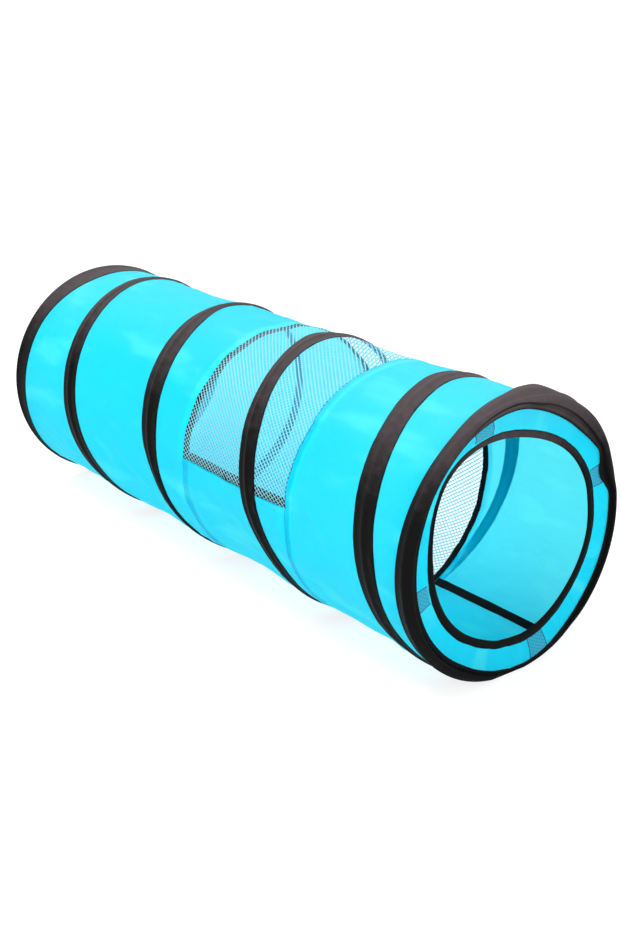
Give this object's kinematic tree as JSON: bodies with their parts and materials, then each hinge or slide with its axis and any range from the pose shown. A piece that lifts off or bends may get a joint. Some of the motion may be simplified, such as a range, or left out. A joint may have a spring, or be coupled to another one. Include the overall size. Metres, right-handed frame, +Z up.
{
  "type": "kids play tunnel",
  "caption": "Pop-up crawl tunnel for children: spring wire coil and end hoops under thin cyan cloth, with a mesh window and a bound round mouth at each end.",
  "frame": {"origin": "on the floor below the middle of the tunnel, where its box's bottom centre is", "axes": "+X along the tunnel towards the near mouth, +Y to the side away from the mesh window's low edge, +Z up"},
  "size_m": [1.249, 0.455, 0.4523],
  "materials": {
    "cyan_cloth": "satin",
    "mesh_cloth": "matte",
    "black_tape": "satin",
    "patch_cloth": "matte",
    "spring_steel": "satin",
    "crimp_steel": "satin"
  },
  "bodies": {
    "near_end": {"near_hoop_wire": "spring_steel", "near_hoop_ferrule": "crimp_steel", "near_hoop_binding": "black_tape", "near_end_panel": "cyan_cloth", "near_patch_1": "patch_cloth", "near_patch_2": "patch_cloth", "near_patch_3": "patch_cloth", "near_patch_4": "patch_cloth", "near_coil_clamp": "crimp_steel", "coil_wire": "spring_steel", "coil_tape": "black_tape", "near_wall": "cyan_cloth", "mesh_panel": "mesh_cloth", "floor_panel": "cyan_cloth", "far_wall": "cyan_cloth", "near_seam_tape": "black_tape", "far_seam_tape": "black_tape", "near_long_seam_tape": "black_tape", "mesh_long_seam_tape": "black_tape", "far_long_seam_tape": "black_tape", "mesh_edge_tape": "black_tape"},
    "far_end": {"far_hoop_wire": "spring_steel", "far_hoop_ferrule": "crimp_steel", "far_hoop_binding": "black_tape", "far_end_panel": "cyan_cloth", "far_patch_1": "patch_cloth", "far_patch_2": "patch_cloth", "far_patch_3": "patch_cloth", "far_patch_4": "patch_cloth", "far_coil_clamp": "crimp_steel"},
    "near_rim": {"near_rim_wire": "spring_steel", "near_rim_ferrule": "crimp_steel", "near_rim_binding": "black_tape"},
    "far_rim": {"far_rim_wire": "spring_steel", "far_rim_ferrule": "crimp_steel", "far_rim_binding": "black_tape"}
  },
  "joints": [
    {"name": "collapse", "type": "slide", "parent": "near_end", "child": "far_end", "axis": [1, 0, 0], "range_m": [0, 1.189], "stiffness_N_per_m": 25, "springref_m": -0.15, "deforming": ["coil_wire", "coil_tape", "near_wall", "mesh_panel", "floor_panel", "far_wall", "near_seam_tape", "far_seam_tape", "near_long_seam_tape", "mesh_long_seam_tape", "far_long_seam_tape", "mesh_edge_tape"]},
    {"name": "near_rim_push", "type": "slide", "parent": "near_end", "child": "near_rim", "axis": [-1, 0, 0], "range_m": [-0.015, 0.015], "stiffness_N_per_m": 80, "deforming": ["near_end_panel", "near_patch_1", "near_patch_2", "near_patch_3", "near_patch_4"]},
    {"name": "far_rim_push", "type": "slide", "parent": "far_end", "child": "far_rim", "axis": [1, 0, 0], "range_m": [-0.015, 0.015], "stiffness_N_per_m": 80, "deforming": ["far_end_panel", "far_patch_1", "far_patch_2", "far_patch_3", "far_patch_4"]}
  ]
}
